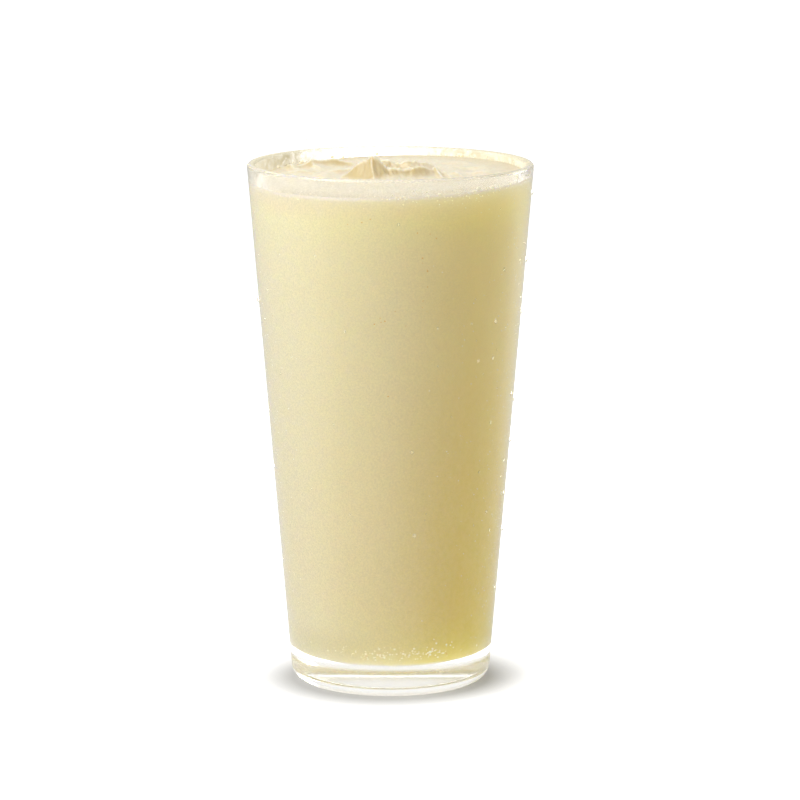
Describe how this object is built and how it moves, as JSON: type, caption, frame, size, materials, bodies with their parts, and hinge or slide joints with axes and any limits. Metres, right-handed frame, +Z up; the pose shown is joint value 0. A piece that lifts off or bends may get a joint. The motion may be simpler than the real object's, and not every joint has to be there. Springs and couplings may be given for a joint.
{
  "type": "frosted lemonade in a glass",
  "caption": "Thick pale yellow frosted lemonade, stirred into soft folds around one pointed peak, in a tall conical mixing glass with a heavy base.",
  "frame": {"origin": "centre of the circle that the glass stands on", "axes": "+Z up along the axis of the glass; -Y is the side that the drink is served from, which the steep side of its main fold faces"},
  "size_m": [0.0888, 0.0888, 0.1661],
  "materials": {
    "glass": "clear glass under a fine white mist of condensation",
    "lemonade": "thick, opaque pale yellow drink with a cream coloured, softly folded top"
  },
  "bodies": {
    "root": {"glass": "glass", "lemonade": "lemonade"}
  },
  "joints": []
}
